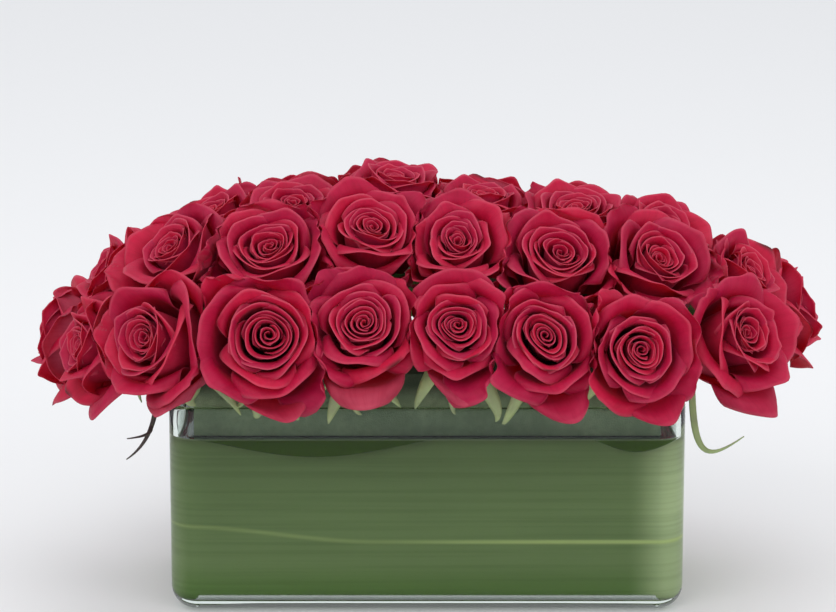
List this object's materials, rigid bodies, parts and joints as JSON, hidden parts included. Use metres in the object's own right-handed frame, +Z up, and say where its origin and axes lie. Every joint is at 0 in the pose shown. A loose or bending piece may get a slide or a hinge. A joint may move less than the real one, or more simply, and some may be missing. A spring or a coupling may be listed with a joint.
{
  "type": "flower box",
  "caption": "Low rectangular clear glass vase lined with broad green leaves, with a dome of open red roses set in a block of wet floral foam.",
  "frame": {"origin": "centre of the vase's flat underside", "axes": "+Z up, +X along the length of the vase, front of the arrangement towards -Y"},
  "size_m": [0.47, 0.2645, 0.2643],
  "materials": {
    "clear_glass": "clear pressed glass, polished, with a faint green edge",
    "lining_leaf": "smooth waxy leaf, satin",
    "inner_lining_leaf": "smooth waxy leaf, darker, satin",
    "water": "still clear water",
    "wet_foam": "fine open-cell floral foam, soaked, matt",
    "rose_petals": "velvety red petal with paler back and edge",
    "stem_and_sepals": "smooth fresh stem, hip and sepals, satin"
  },
  "bodies": {
    "vase": {"vase": "clear_glass", "lining_leaf_front": "lining_leaf", "lining_leaf_back": "lining_leaf", "lining_leaf_inner": "inner_lining_leaf", "water": "water"},
    "arrangement": {"foam_block": "wet_foam", "stems_front": "stem_and_sepals", "stems_upper_front": "stem_and_sepals", "stems_crown": "stem_and_sepals", "stems_upper_back": "stem_and_sepals", "stems_back": "stem_and_sepals", "stems_left": "stem_and_sepals", "stems_right": "stem_and_sepals", "rose_front_1": "rose_petals", "rose_front_2": "rose_petals", "rose_front_3": "rose_petals", "rose_front_4": "rose_petals", "rose_front_5": "rose_petals", "rose_front_6": "rose_petals", "rose_front_7": "rose_petals", "rose_upper_front_1": "rose_petals", "rose_upper_front_2": "rose_petals", "rose_upper_front_3": "rose_petals", "rose_upper_front_4": "rose_petals", "rose_upper_front_5": "rose_petals", "rose_upper_front_6": "rose_petals", "rose_crown_1": "rose_petals", "rose_crown_2": "rose_petals", "rose_crown_3": "rose_petals", "rose_crown_4": "rose_petals", "rose_crown_5": "rose_petals", "rose_crown_6": "rose_petals", "rose_upper_back_1": "rose_petals", "rose_upper_back_2": "rose_petals", "rose_upper_back_3": "rose_petals", "rose_upper_back_4": "rose_petals", "rose_upper_back_5": "rose_petals", "rose_back_1": "rose_petals", "rose_back_2": "rose_petals", "rose_back_3": "rose_petals", "rose_back_4": "rose_petals", "rose_back_5": "rose_petals", "rose_back_6": "rose_petals", "rose_left_1": "rose_petals", "rose_left_2": "rose_petals", "rose_left_3": "rose_petals", "rose_right_1": "rose_petals", "rose_right_2": "rose_petals", "rose_right_3": "rose_petals"}
  },
  "joints": [
    {"name": "arrangement_lift", "type": "slide", "parent": "vase", "child": "arrangement", "axis": [0, 0, 1], "range_m": [0, 0.14]}
  ]
}
